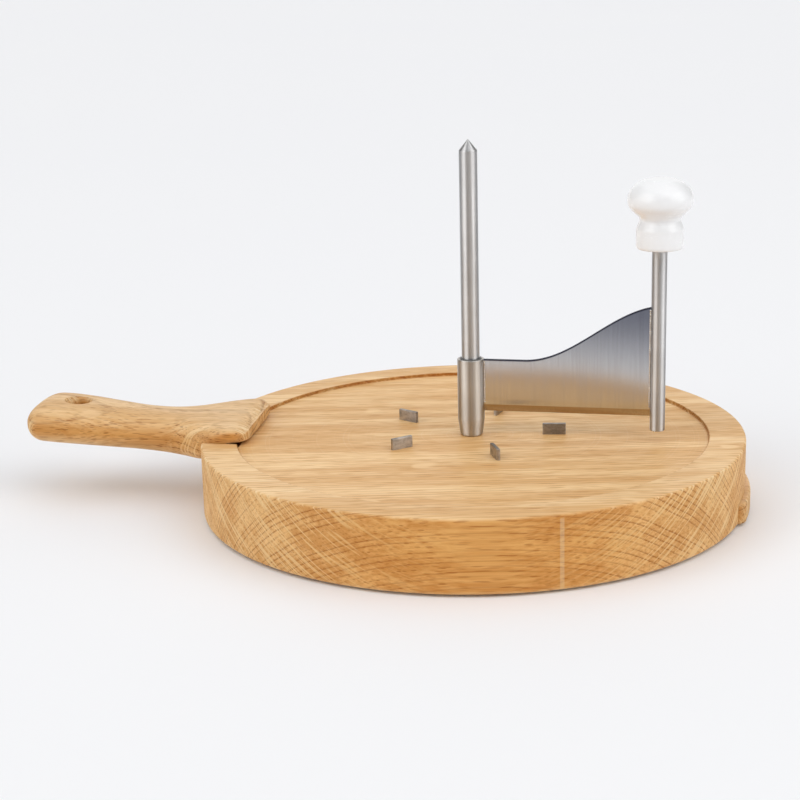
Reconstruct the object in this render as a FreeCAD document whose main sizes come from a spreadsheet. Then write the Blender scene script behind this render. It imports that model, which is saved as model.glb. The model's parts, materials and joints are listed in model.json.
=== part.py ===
"""Rotary cheese scraper: a round oak board with a spindle and a blade that is cranked round it.

Origin: centre of the board on the plane that it stands on. +Z up, the hand grip towards -X.
Every shape is drawn from the wooden underside and its Placement lifts it by the feet's height.
"""
import FreeCAD, Part
import math
import os
import Sketcher
from FreeCAD import Vector

SIZES = {
    # board
    "board_diameter": 220.0,
    "board_thickness": 28.5,
    "board_edge_break": 1.2,
    "recess_diameter": 191.0,
    "recess_depth": 1.4,
    "recess_rim_break": 0.3,
    "recess_foot_break": 0.4,
    "foot_height": 1.0,
    "foot_diameter": 12.0,
    "foot_along": 60.0,
    "foot_across": 68.0,
    # hand grip, its nose over the rim and the tongue that runs under the board
    "tongue_width": 52.0,
    "tongue_height": 8.5,
    "tongue_reach": 112.2,
    "joint_gap": 0.2,
    "notch_end": 91.5,
    "nose_end": 88.8,
    "nose_height": 34.5,
    "nose_round": 2.4,
    "neck_start": 104.0,
    "shoulder_height": 17.8,
    "hanging_hole_diameter": 10.0,
    "hanging_hole_from_axis": 166.0,
    # screws that hold the tongue
    "screw_diameter": 4.0,
    "screw_head_diameter": 8.0,
    "screw_length": 22.0,
    "screw_along": 62.0,
    "screw_across": 14.0,
    # spindle, its washer and its nut
    "spindle_diameter": 7.3,
    "spindle_tip_height": 147.2,
    "spindle_tip_angle": 80.0,
    "stud_diameter": 6.0,
    "stud_clearance": 0.05,
    "stud_end": 0.8,
    "stud_end_break": 0.5,
    "spindle_groove_diameter": 6.9,
    "spindle_groove_bottom": 58.4,
    "spindle_groove_height": 1.1,
    "nut_flats": 10.0,
    "nut_height": 3.2,
    "washer_diameter": 13.0,
    "washer_thickness": 1.2,
    "counterbore_diameter": 16.0,
    "counterbore_depth": 5.6,
    # hub
    "hub_diameter": 10.9,
    "hub_nose_diameter": 9.2,
    "hub_nose_length": 7.0,
    "hub_nose_break": 0.4,
    "hub_top_break": 0.3,
    "hub_top": 58.9,
    "hub_rest_gap": 0.1,
    "bush_diameter": 8.7,
    "bush_seat": 8.0,
    "bush_stand_out": 0.3,
    "bush_break": 0.2,
    "running_gap": 0.05,
    # blade
    "blade_heading": -3.0,
    "blade_thickness": 1.5,
    "blade_edge_thickness": 0.3,
    "blade_bottom": 37.2,
    "bevel_height": 3.0,
    "curve_start": 22.0,
    "curve_end": 78.0,
    "curve_rise": 23.4,
    "weld_leg": 0.9,
    "weld_inset": 0.6,
    # crank rod and knob
    "rod_from_axis": 75.0,
    "rod_diameter": 6.0,
    "rod_bottom": 31.6,
    "rod_end_break": 0.4,
    "knob_bottom": 105.0,
    "knob_height": 27.4,
    "knob_diameter": 25.4,
    "knob_neck_diameter": 15.8,
    "knob_flange_diameter": 18.6,
    "journal_diameter": 4.7,
    "journal_length": 20.0,
    "ring_from_bottom": 14.0,
    "ring_height": 1.0,
    "ring_diameter": 6.2,
    "ring_groove_diameter": 3.6,
    # cheese pins
    "pin_ring_radius": 33.5,
    "pin_length": 9.4,
    "pin_thickness": 1.5,
    "pin_above_floor": 4.6,
    "pin_below_floor": 8.0,
    "pin_first_heading": 4.5,
}
PIN_COUNT = 5
FOOT_SIDES = ((1, 1), (-1, 1), (-1, -1), (1, -1))
CURVE_STEPS = 8
# how far a cutting shape runs on past the wood
BEYOND = 5.0

doc = FreeCAD.newDocument("cheese_scraper")
sheet = doc.addObject("Spreadsheet::Sheet", "sizes")
for row, (alias, value) in enumerate(SIZES.items(), start=1):
    sheet.set(f"A{row}", alias.replace("_", " "))
    sheet.set(f"B{row}", str(value))
    sheet.setAlias(f"B{row}", alias)
doc.recompute()


def size(alias):
    """Value of one cell of the sheet, for shapes that are set by code."""
    return float(sheet.get(alias))


def bind(item, **expressions):
    """Tie properties of an object to the sheet; a double underscore stands for a dot."""
    for prop, text in expressions.items():
        item.setExpression(prop.replace("__", "."), text)
    return item


def origin_plane(body, role):
    """One of a body's own origin planes."""
    return next(plane for plane in body.Origin.OriginFeatures if plane.Role == role)


def new_body(name):
    """An empty body."""
    return doc.addObject("PartDesign::Body", name)


def polygon(body, plane, corners):
    """Closed sketch with straight sides; each corner is a pair of expressions."""
    sketch = body.newObject("Sketcher::SketchObject", body.Name + "_sketch")
    sketch.AttachmentSupport = (origin_plane(body, plane), [""])
    sketch.MapMode = "FlatFace"
    count = len(corners)
    angles = [2 * math.pi * i / count for i in range(count)]
    ring = [Vector(math.cos(angle), math.sin(angle), 0) for angle in angles]
    for i in range(count):
        sketch.addGeometry(Part.LineSegment(ring[i], ring[(i + 1) % count]), False)
    for i in range(count):
        sketch.addConstraint(Sketcher.Constraint("Coincident", i, 2, (i + 1) % count, 1))
    for i, (across, up) in enumerate(corners):
        for kind, start, text in (("DistanceX", ring[i].x, across), ("DistanceY", ring[i].y, up)):
            index = sketch.addConstraint(Sketcher.Constraint(kind, -1, 1, i, 1, start))
            sketch.setExpression(f"Constraints[{index}]", text)
    return sketch


def circles(body, plane, radius, centres):
    """Sketch of equal circles; the radius and each centre are expressions."""
    sketch = body.newObject("Sketcher::SketchObject", body.Name + "_circles")
    sketch.AttachmentSupport = (origin_plane(body, plane), [""])
    sketch.MapMode = "FlatFace"
    for i, (across, up) in enumerate(centres):
        sketch.addGeometry(Part.Circle(Vector(i, 1, 0), Vector(0, 0, 1), 1.0), False)
        index = sketch.addConstraint(Sketcher.Constraint("Radius", i, 1.0))
        sketch.setExpression(f"Constraints[{index}]", radius)
        for kind, start, text in (("DistanceX", float(i), across), ("DistanceY", 1.0, up)):
            index = sketch.addConstraint(Sketcher.Constraint(kind, -1, 1, i, 3, start))
            sketch.setExpression(f"Constraints[{index}]", text)
    return sketch


def turned(name, corners):
    """Body turned about Z from a half profile whose corners are (radius, height) expressions."""
    body = new_body(name)
    sketch = polygon(body, "XZ_Plane", corners)
    spin = body.newObject("PartDesign::Revolution", name + "_turned")
    spin.Profile = sketch
    spin.ReferenceAxis = (sketch, ["V_Axis"])
    return body


def pad(body, sketch, length):
    """Pad a sketch by an expression."""
    feature = body.newObject("PartDesign::Pad", body.Name + "_pad")
    feature.Profile = sketch
    feature.setExpression("Length", length)
    return feature


def pocket(body, sketch, length, reverse=True):
    """Cut a sketch's outline out of a body, upwards unless told otherwise, and make sure material went."""
    doc.recompute()
    before = body.Shape.Volume
    feature = body.newObject("PartDesign::Pocket", body.Name + "_pocket")
    feature.Profile = sketch
    feature.Reversed = reverse
    feature.setExpression("Length", length)
    doc.recompute()
    if body.Shape.Volume > before - 1e-3:
        raise RuntimeError(f"{feature.Name} cuts nothing")
    return feature


def solid_feature(name, shape):
    """Object that holds a shape made by code."""
    feature = doc.addObject("Part::Feature", name)
    feature.Shape = shape
    return feature


def screw_places():
    """The four screws of the tongue, as signs along X and Y."""
    return [(f"{sx} * sizes.screw_along", f"{sy} * sizes.screw_across") for sx, sy in FOOT_SIDES]


def screw_shapes():
    """One countersunk wood screw for each place, its head flush with the underside."""
    head = size("screw_head_diameter") / 2
    shank = size("screw_diameter") / 2
    length = size("screw_length")
    sink = head - shank
    shapes = []
    for sx, sy in FOOT_SIDES:
        place = Vector(sx * size("screw_along"), sy * size("screw_across"), 0)
        cone = Part.makeCone(head, shank, sink, place)
        stem = Part.makeCylinder(shank, length - sink - shank, place + Vector(0, 0, sink))
        point = Part.makeCone(shank, 0, shank, place + Vector(0, 0, length - shank))
        shapes.append(cone.fuse([stem, point]).removeSplitter())
    return shapes


def make_board():
    """Round board: a shallow recess on top, a groove across the underside and a notch in the rim."""
    rim = "sizes.board_diameter / 2"
    edge = "sizes.board_edge_break"
    top = "sizes.board_thickness"
    floor = "sizes.board_thickness - sizes.recess_depth"
    wall = "sizes.recess_diameter / 2"
    rim_break = "sizes.recess_rim_break"
    foot_break = "sizes.recess_foot_break"
    body = turned("board", [
        ("0", "0"), (f"{rim} - {edge}", "0"), (rim, edge),
        (rim, f"{top} - {edge} / 2"), (f"{rim} - {edge} / 2", top),
        (f"{wall} + {rim_break}", top), (wall, f"{top} - {rim_break}"),
        (wall, f"{floor} + {foot_break}"), (f"{wall} - {foot_break}", floor),
        ("0", floor)])
    half = "(sizes.tongue_width / 2 + sizes.joint_gap)"
    outside = f"({rim} + {BEYOND})"
    through = f"sizes.board_thickness + {BEYOND}"
    groove = polygon(body, "XY_Plane", [
        (f"-{outside}", f"-{half}"), (outside, f"-{half}"), (outside, half), (f"-{outside}", half)])
    pocket(body, groove, "sizes.tongue_height")
    notch = polygon(body, "XY_Plane", [
        (f"-{outside}", f"-{half}"), ("-sizes.notch_end", f"-{half}"),
        ("-sizes.notch_end", half), (f"-{outside}", half)])
    pocket(body, notch, through)
    bore = circles(body, "XY_Plane", "sizes.stud_diameter / 2 + sizes.stud_clearance", [("0", "0")])
    pocket(body, bore, through)
    pilots = circles(body, "XY_Plane", "sizes.screw_diameter / 2", screw_places())
    pocket(body, pilots, "sizes.screw_length")
    inner = "(sizes.pin_ring_radius - sizes.pin_length / 2)"
    outer = "(sizes.pin_ring_radius + sizes.pin_length / 2)"
    side = "(sizes.pin_thickness / 2)"
    cosine = "cos(sizes.pin_first_heading)"
    sine = "sin(sizes.pin_first_heading)"
    corners = [(inner, f"-{side}"), (outer, f"-{side}"), (outer, side), (inner, side)]
    slot = polygon(body, "XY_Plane", [
        (f"{along} * {cosine} - {across} * {sine}", f"{along} * {sine} + {across} * {cosine}")
        for along, across in corners])
    bind(slot, AttachmentOffset__Base__z="sizes.board_thickness")
    first = pocket(body, slot, "sizes.recess_depth + sizes.pin_below_floor", reverse=False)
    pattern = body.newObject("PartDesign::PolarPattern", "board_slots")
    pattern.Originals = [first]
    pattern.Axis = (slot, ["N_Axis"])
    pattern.Angle = 360
    pattern.Occurrences = PIN_COUNT
    body.Tip = pattern
    return bind(body, Placement__Base__z="sizes.foot_height")


def rounded_section(x, half_width, low, high, corner):
    """Upright section of the grip at x: a rectangle with four rounded corners."""
    corner = min(corner, 0.49 * (high - low), 0.98 * half_width)
    places = ((half_width, low, 0), (half_width, high, 1), (-half_width, high, 2), (-half_width, low, 3))
    arcs = []
    for side, level, quarter in places:
        middle = Vector(x, side - math.copysign(corner, side), level + (corner if level == low else -corner))
        points = []
        for step in (-1, 0, 1):
            angle = math.radians(-45 + 90 * quarter + 45 * step)
            points.append(middle + Vector(0, corner * math.cos(angle), corner * math.sin(angle)))
        arcs.append(Part.Arc(*points))
    edges = []
    for arc, following in zip(arcs, arcs[1:] + arcs[:1]):
        edges.append(arc.toShape())
        edges.append(Part.LineSegment(arc.EndPoint, following.StartPoint).toShape())
    return Part.Wire(edges)


def grip_shape():
    """Hand grip: a loft through upright sections from the rim's shoulder to the rounded tip."""
    tongue_half = size("tongue_width") / 2
    start = size("neck_start")
    shoulder = size("shoulder_height")
    top = size("nose_height")
    corner = size("nose_round")
    # distance from the board's axis, half width, underside, top, corner radius
    stations = (
        (start, tongue_half, shoulder - 0.5, top, corner),
        (start + 3, tongue_half - 0.8, shoulder - 0.4, top, corner + 0.4),
        (start + 11, 20.4, shoulder + 0.2, top, 5.2),
        (start + 20, 15.2, shoulder + 0.8, top + 0.1, 6.5),
        (136, 14.4, 19.2, 35.1, 7.4),
        (150, 16.2, 20.4, 36.7, 7.8),
        (162, 18.7, 21.6, 37.9, 7.8),
        (173, 20.3, 22.7, 38.7, 7.6),
        (180.5, 18.4, 24.2, 38.0, 6.6),
        (184.6, 13.8, 26.6, 36.2, 4.5),
        (186, 9.0, 29.2, 34.0, 2.3),
    )
    wires = [rounded_section(-along, *section) for along, *section in stations]
    return Part.makeLoft(wires, True, False)


def strip_end(radius, side):
    """Half of a strip as wide as the tongue, from the board's axis out to a round end."""
    half = size("tongue_width") / 2
    high = size("nose_height")
    strip = Part.makeBox(radius, 2 * half, high, Vector(min(side, 0) * radius, -half, 0))
    return strip.common(Part.makeCylinder(radius, high))


def handle_blank():
    """The tongue with the block over the rim that the grip grows out of, all edges still square."""
    reach = size("tongue_reach")
    half = size("tongue_width") / 2
    gap = size("joint_gap")
    high = size("nose_height")
    tongue_top = size("tongue_height") - gap
    nose_under = size("board_thickness") - size("recess_depth") + 2 * gap
    notch = size("notch_end") + gap
    neck = size("neck_start")
    blank = strip_end(size("board_diameter") / 2, -1).fuse(strip_end(reach, 1))
    over_tongue = Part.makeBox(2 * reach, 4 * half, high, Vector(-size("nose_end"), -2 * half, tongue_top))
    under_nose = Part.makeBox(reach, 4 * half, nose_under - tongue_top, Vector(-notch, -2 * half, tongue_top))
    past_neck = Part.makeBox(reach, 4 * half, high, Vector(-neck - reach, -2 * half, size("shoulder_height")))
    return blank.cut([over_tongue, under_nose, past_neck]).removeSplitter()


def make_handle():
    """One oak piece: the grip, the nose over the rim and the tongue that crosses under the board."""
    half = size("tongue_width") / 2
    high = size("nose_height")
    blank = handle_blank()
    lobe_edges = [edge for edge in blank.Edges if is_lobe_corner(edge, half)]
    blank = blank.makeFillet(size("tongue_height") / 2, lobe_edges)
    nose_edges = [edge for edge in blank.Edges if is_nose_edge(edge, half, high)]
    blank = blank.makeFillet(size("nose_round"), nose_edges)
    whole = blank.fuse(grip_shape()).removeSplitter()
    hole_place = Vector(-size("hanging_hole_from_axis"), 0, 0)
    hole = Part.makeCylinder(size("hanging_hole_diameter") / 2, 2 * high, hole_place)
    bore = Part.makeCylinder(size("stud_diameter") / 2 + size("stud_clearance"), high)
    counterbore = Part.makeCylinder(size("counterbore_diameter") / 2, size("counterbore_depth"))
    whole = whole.cut([hole, bore, counterbore] + screw_shapes())
    return bind(solid_feature("handle", whole), Placement__Base__z="sizes.foot_height")


def is_nose_edge(edge, half, high):
    """True for the top edges of the nose: its end, its two sides and its two upright corners."""
    box = edge.BoundBox
    nose = -size("nose_end")
    on_side = abs(abs(box.YMin) - half) < 0.01 and box.YLength < 0.01
    at_end = abs(box.XMin - nose) < 0.01 and box.XLength < 0.01
    on_top = box.ZMin > high - 0.01
    upright = box.ZLength > 1
    return (on_top and (on_side or at_end)) or (upright and on_side and at_end)


def is_lobe_corner(edge, half):
    """True for the two upright corners at the free end of the tongue."""
    box = edge.BoundBox
    upright = box.ZLength > 1 and box.XLength < 0.01 and box.YLength < 0.01
    return upright and box.XMin > 0 and abs(box.YMin) > half - 0.01


def make_handle_screws():
    """Four countersunk wood screws up through the tongue into the board."""
    screws = solid_feature("handle_screws", Part.makeCompound(screw_shapes()))
    return bind(screws, Placement__Base__z="sizes.foot_height")


def make_spindle():
    """Pointed steel shaft on the recess floor, with a thinner stud down through the board.

    A shallow groove just at the hub's top shows where the blade is seated.
    """
    floor = "(sizes.board_thickness - sizes.recess_depth)"
    radius = "sizes.spindle_diameter / 2"
    stud = "sizes.stud_diameter / 2"
    tip = "sizes.spindle_tip_height"
    cone = f"({radius} / tan(sizes.spindle_tip_angle / 2))"
    groove = "sizes.spindle_groove_diameter / 2"
    groove_low = "sizes.spindle_groove_bottom"
    groove_high = "sizes.spindle_groove_bottom + sizes.spindle_groove_height"
    body = turned("spindle", [
        ("0", "sizes.stud_end"), (f"{stud} - sizes.stud_end_break", "sizes.stud_end"),
        (stud, "sizes.stud_end + sizes.stud_end_break"), (stud, floor), (radius, floor),
        (radius, groove_low), (groove, groove_low), (groove, groove_high), (radius, groove_high),
        (radius, f"{tip} - {cone}"), ("0", tip)])
    return bind(body, Placement__Base__z="sizes.foot_height")


def make_spindle_washer():
    """Flat washer between the nut and the bottom of the counterbore."""
    high = "sizes.counterbore_depth"
    low = "sizes.counterbore_depth - sizes.washer_thickness"
    inner = "sizes.stud_diameter / 2 + sizes.stud_clearance"
    outer = "sizes.washer_diameter / 2"
    body = turned("spindle_washer", [(inner, low), (outer, low), (outer, high), (inner, high)])
    return bind(body, Placement__Base__z="sizes.foot_height")


def make_spindle_nut():
    """Hexagon nut on the stud, sunk in the tongue's underside."""
    body = new_body("spindle_nut")
    corner = "(sizes.nut_flats / 2 / cos(30))"
    corners = [(f"{corner} * cos({60 * i})", f"{corner} * sin({60 * i})") for i in range(6)]
    hexagon = polygon(body, "XY_Plane", corners)
    low = "sizes.counterbore_depth - sizes.washer_thickness - sizes.nut_height"
    bind(hexagon, AttachmentOffset__Base__z=low)
    pad(body, hexagon, "sizes.nut_height")
    bore = circles(body, "XY_Plane", "sizes.stud_diameter / 2", [("0", "0")])
    pocket(body, bore, f"2 * sizes.nut_height + {BEYOND}")
    return bind(body, Placement__Base__z="sizes.foot_height")


def make_hub_sleeve():
    """Steel tube that rides on the spindle, with a tapered nose and a seat for the bush."""
    low = "(sizes.board_thickness - sizes.recess_depth + sizes.hub_rest_gap)"
    seat = f"({low} + sizes.bush_seat)"
    outer = "sizes.hub_diameter / 2"
    nose = "sizes.hub_nose_diameter / 2"
    nose_break = "sizes.hub_nose_break"
    bore = "sizes.spindle_diameter / 2 + 2 * sizes.running_gap"
    seat_radius = "sizes.bush_diameter / 2 + sizes.running_gap"
    top = "sizes.hub_top"
    top_break = "sizes.hub_top_break"
    body = turned("hub_sleeve", [
        (bore, low), (f"{nose} - {nose_break}", low), (nose, f"{low} + {nose_break}"),
        (outer, f"{low} + sizes.hub_nose_length"), (outer, f"{top} - {top_break}"),
        (f"{outer} - {top_break}", top), (seat_radius, top), (seat_radius, seat), (bore, seat)])
    return bind(body, Placement__Base__z="sizes.foot_height", Placement__Rotation__Angle="sizes.blade_heading")


def make_hub_bush():
    """Thin plain-bearing liner between the spindle and the hub."""
    low = "(sizes.board_thickness - sizes.recess_depth + 2 * sizes.hub_rest_gap + sizes.bush_seat)"
    inner = "sizes.spindle_diameter / 2 + sizes.running_gap"
    outer = "sizes.bush_diameter / 2"
    top = "sizes.hub_top + sizes.bush_stand_out"
    edge = "sizes.bush_break"
    body = turned("hub_bush", [
        (inner, low), (outer, low), (outer, f"{top} - {edge}"), (f"{outer} - {edge}", top), (inner, top)])
    return bind(body, Placement__Base__z="sizes.foot_height")


def blade_top(along):
    """Height of the blade's top edge: level by the hub, then half a cosine wave up to the rod."""
    start = size("curve_start")
    share = min(max((along - start) / (size("curve_end") - start), 0.0), 1.0)
    return size("hub_top") + size("curve_rise") * (1 - math.cos(math.pi * share)) / 2


def make_blade():
    """Thin steel plate from the hub to the crank rod, its lower edge ground thin on one side."""
    inner = size("hub_diameter") / 2
    outer = size("rod_from_axis") - size("rod_diameter") / 2
    start = size("curve_start")
    top = size("hub_top")
    low = size("blade_bottom")
    half = size("blade_thickness") / 2
    stops = [start + (outer - start) * i / CURVE_STEPS for i in range(CURVE_STEPS + 1)]
    curve = Part.BSplineCurve()
    curve.interpolate([Vector(along, half, blade_top(along)) for along in stops])
    corners = [Vector(outer, half, blade_top(outer)), Vector(outer, half, low), Vector(inner, half, low)]
    corners += [Vector(inner, half, top), Vector(start, half, top)]
    edges = [Part.LineSegment(a, b).toShape() for a, b in zip(corners, corners[1:])]
    outline = Part.Wire(Part.__sortEdges__(edges + [curve.toShape()]))
    plate = Part.Face(outline).extrude(Vector(0, -2 * half, 0))
    bevel_top = Vector(0, -half, low + size("bevel_height"))
    edge_y = half - size("blade_edge_thickness")
    section = [bevel_top, Vector(0, edge_y, low), Vector(0, edge_y, low - BEYOND)]
    section += [Vector(0, -half - BEYOND, low - BEYOND), Vector(0, -half - BEYOND, bevel_top.z), bevel_top]
    ground = Part.Face(Part.makePolygon(section)).extrude(Vector(outer + BEYOND, 0, 0))
    return turned_with_blade(solid_feature("blade", plate.cut(ground)))


def turned_with_blade(item):
    """Lift an object by the feet's height and turn it to the blade's heading."""
    rotation = FreeCAD.Rotation(Vector(0, 0, 1), size("blade_heading"))
    item.Placement = FreeCAD.Placement(Vector(0, 0, size("foot_height")), rotation)
    return bind(item, Placement__Base__z="sizes.foot_height", Placement__Rotation__Angle="sizes.blade_heading")


def weld_strips(edge_x, side, low, high):
    """Two three-cornered beads, one on each face of the blade, in the corner beside a round part."""
    leg = size("weld_leg")
    half = size("blade_thickness") / 2
    back = edge_x - side * leg
    strips = []
    for face in (1, -1):
        corner = Vector(back, face * half, low)
        foot = Vector(edge_x + side * leg, face * half, low)
        shoulder = Vector(back, face * (half + leg), low)
        outline = Part.makePolygon([corner, foot, shoulder, corner])
        strips.append(Part.Face(outline).extrude(Vector(0, 0, high - low)))
    return strips


def make_hub_weld():
    """Weld beads along the hub."""
    radius = size("hub_diameter") / 2
    top = size("hub_top")
    inset = size("weld_inset")
    hub = Part.makeCylinder(radius, top)
    strips = weld_strips(radius, 1, size("blade_bottom") + size("bevel_height") + inset, top - inset)
    beads = Part.makeCompound([strip.cut(hub) for strip in strips])
    return turned_with_blade(solid_feature("hub_weld", beads))


def make_rod_weld():
    """Weld beads along the crank rod."""
    radius = size("rod_diameter") / 2
    centre = size("rod_from_axis")
    inset = size("weld_inset")
    rod = Part.makeCylinder(radius, 2 * size("hub_top"), Vector(centre, 0, 0))
    top = blade_top(centre - radius - size("weld_leg")) - inset
    strips = weld_strips(centre - radius, -1, size("blade_bottom") + size("bevel_height") + inset, top)
    beads = Part.makeCompound([strip.cut(rod) for strip in strips])
    return turned_with_blade(solid_feature("rod_weld", beads))


def rod_profile():
    """Half profile of the crank rod: shaft, shoulder, journal and the groove for the snap ring."""
    radius = "sizes.rod_diameter / 2"
    journal = "sizes.journal_diameter / 2"
    groove = "sizes.ring_groove_diameter / 2"
    low = "sizes.rod_bottom"
    shoulder = "sizes.knob_bottom - sizes.hub_rest_gap"
    ring_low = "sizes.knob_bottom + sizes.ring_from_bottom"
    ring_high = f"{ring_low} + sizes.ring_height"
    end = "sizes.knob_bottom + sizes.journal_length"
    chamfer = "sizes.rod_end_break"
    return [
        ("0", low), (f"{radius} - {chamfer}", low), (radius, f"{low} + {chamfer}"), (radius, shoulder),
        (journal, shoulder), (journal, ring_low), (groove, ring_low), (groove, ring_high),
        (journal, ring_high), (journal, f"{end} - {chamfer}"), (f"{journal} - {chamfer}", end), ("0", end)]


def on_crank(item):
    """Stand an object on the crank rod's axis."""
    radius = size("rod_from_axis")
    heading = math.radians(size("blade_heading"))
    place = Vector(radius * math.cos(heading), radius * math.sin(heading), size("foot_height"))
    rotation = FreeCAD.Rotation(Vector(0, 0, 1), size("blade_heading"))
    item.Placement = FreeCAD.Placement(place, rotation)
    return bind(item, Placement__Base__x="sizes.rod_from_axis * cos(sizes.blade_heading)",
                Placement__Base__y="sizes.rod_from_axis * sin(sizes.blade_heading)",
                Placement__Base__z="sizes.foot_height")


def make_crank_rod():
    """Upright steel rod that the knob turns on."""
    return on_crank(turned("crank_rod", rod_profile()))


def make_knob_retainer():
    """Open snap ring in the journal's groove, which keeps the knob on the rod."""
    low = size("knob_bottom") + size("ring_from_bottom")
    outer = size("ring_diameter") / 2
    inner = size("ring_groove_diameter") / 2
    high = size("ring_height")
    ring = Part.makeCylinder(outer, high, Vector(0, 0, low)).cut(Part.makeCylinder(inner, high, Vector(0, 0, low)))
    # the mouth is four tenths of the ring's inner diameter wide
    mouth = Part.makeBox(outer, 0.8 * inner, high, Vector(0, -0.4 * inner, low))
    return on_crank(solid_feature("knob_retainer", ring.cut(mouth)))


def make_knob():
    """Turned knob: a flange, a waist and a mushroom head, bored from below for the journal."""
    low = size("knob_bottom")
    high = size("knob_height")
    head = size("knob_diameter") / 2
    neck = size("knob_neck_diameter") / 2
    flange = size("knob_flange_diameter") / 2
    # radius and height of the outline, from the rim of the underside up to the crown
    outline = [
        (flange - 0.6, 0.0), (flange, 1.0), (flange, 0.2 * high), (flange - 0.2, 0.31 * high),
        (neck, 0.4 * high), (neck + 1.2, 0.48 * high), (head - 1.2, 0.58 * high), (head, 0.69 * high),
        (head - 1.4, 0.84 * high), (0.58 * head, 0.96 * high), (0.0, high)]
    points = [Vector(radius, 0, low + up) for radius, up in outline]
    curve = Part.BSplineCurve()
    curve.interpolate(points)
    base = Part.LineSegment(Vector(0, 0, low), points[0]).toShape()
    axis = Part.LineSegment(points[-1], Vector(0, 0, low)).toShape()
    face = Part.Face(Part.Wire([base, curve.toShape(), axis]))
    whole = face.revolve(Vector(0, 0, 0), Vector(0, 0, 1), 360)
    gap = size("running_gap")
    bottom = Vector(0, 0, low)
    bore = Part.makeCylinder(size("journal_diameter") / 2 + gap, size("journal_length") + 1, bottom)
    chamber_low = bottom + Vector(0, 0, size("ring_from_bottom") - 2 * gap)
    chamber_high = size("ring_height") + 4 * gap
    chamber = Part.makeCylinder(size("ring_diameter") / 2 + 2 * gap, chamber_high, chamber_low)
    return on_crank(solid_feature("knob", whole.cut([bore, chamber])))


def make_cheese_pin(number):
    """Small upright steel plate, edge on to the spindle, that stops the cheese from turning."""
    pin = doc.addObject("Part::Box", f"cheese_pin_{number}")
    heading = f"(sizes.pin_first_heading + {number - 1} * 360 / {PIN_COUNT})"
    start = "(sizes.pin_ring_radius - sizes.pin_length / 2)"
    side = "(sizes.pin_thickness / 2)"
    floor = "sizes.foot_height + sizes.board_thickness - sizes.recess_depth"
    bind(pin, Length="sizes.pin_length", Width="sizes.pin_thickness",
         Height="sizes.pin_above_floor + sizes.pin_below_floor")
    # any angle but zero keeps the rotation's axis upright while the sheet sets the angle
    pin.Placement = FreeCAD.Placement(Vector(), FreeCAD.Rotation(Vector(0, 0, 1), 1.0))
    return bind(pin, Placement__Rotation__Angle=heading,
                Placement__Base__x=f"{start} * cos({heading}) + {side} * sin({heading})",
                Placement__Base__y=f"{start} * sin({heading}) - {side} * cos({heading})",
                Placement__Base__z=f"{floor} - sizes.pin_below_floor")


def make_foot(number):
    """Low round anti-slip pad under the board."""
    foot = doc.addObject("Part::Cylinder", f"foot_{number}")
    side_x, side_y = FOOT_SIDES[number - 1]
    return bind(foot, Radius="sizes.foot_diameter / 2", Height="sizes.foot_height",
                Placement__Base__x=f"{side_x} * sizes.foot_along",
                Placement__Base__y=f"{side_y} * sizes.foot_across")


def main():
    """Build every piece, check it and write its file."""
    pieces = [make_board(), make_handle(), make_handle_screws()]
    pieces += [make_spindle(), make_spindle_washer(), make_spindle_nut()]
    pieces += [make_hub_bush(), make_hub_sleeve(), make_blade(), make_hub_weld(), make_rod_weld()]
    pieces += [make_crank_rod(), make_knob_retainer(), make_knob()]
    pieces += [make_cheese_pin(number) for number in range(1, PIN_COUNT + 1)]
    pieces += [make_foot(number) for number in range(1, len(FOOT_SIDES) + 1)]
    doc.recompute()
    for item in doc.Objects:
        if {"Invalid", "Error"} & set(item.State):
            raise RuntimeError(f"{item.Name} failed: {item.State}")
    for piece in pieces:
        if piece.Shape.isNull() or not piece.Shape.isValid() or piece.Shape.Volume <= 0:
            raise RuntimeError(f"{piece.Label} has no valid shape")
    os.makedirs("parts", exist_ok=True)
    for piece in pieces:
        piece.Shape.exportStep(f"parts/{piece.Label}.step")
        print(piece.Label, len(piece.Shape.Solids), round(piece.Shape.Volume, 2), piece.Shape.BoundBox)


main()
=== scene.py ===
import json
import math

import bmesh
import bpy
import numpy as np
from mathutils import Matrix, Vector


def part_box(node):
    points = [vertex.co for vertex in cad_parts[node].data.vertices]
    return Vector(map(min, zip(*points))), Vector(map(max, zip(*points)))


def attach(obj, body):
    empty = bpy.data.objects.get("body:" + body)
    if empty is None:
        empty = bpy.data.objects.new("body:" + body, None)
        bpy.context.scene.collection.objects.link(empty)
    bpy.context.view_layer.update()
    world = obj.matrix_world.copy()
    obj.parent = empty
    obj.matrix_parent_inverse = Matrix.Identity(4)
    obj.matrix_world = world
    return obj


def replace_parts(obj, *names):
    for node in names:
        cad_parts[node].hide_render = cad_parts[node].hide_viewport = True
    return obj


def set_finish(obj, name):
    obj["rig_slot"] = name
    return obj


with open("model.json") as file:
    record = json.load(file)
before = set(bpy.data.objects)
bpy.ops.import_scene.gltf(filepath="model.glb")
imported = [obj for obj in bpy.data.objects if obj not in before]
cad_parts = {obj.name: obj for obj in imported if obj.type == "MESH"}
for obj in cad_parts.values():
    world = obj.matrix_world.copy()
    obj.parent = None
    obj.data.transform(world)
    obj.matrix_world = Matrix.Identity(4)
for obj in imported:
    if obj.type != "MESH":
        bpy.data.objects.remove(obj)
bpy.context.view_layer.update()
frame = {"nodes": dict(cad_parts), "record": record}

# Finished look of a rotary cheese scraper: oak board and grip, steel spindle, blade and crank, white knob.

MM = 0.001

# ---------------------------------------------------------------- places, in millimetres, from the frame


def box_mm(node):
    """Lowest and highest corner of a CAD node in millimetres."""
    return [np.array(corner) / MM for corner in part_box(node)]


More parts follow.
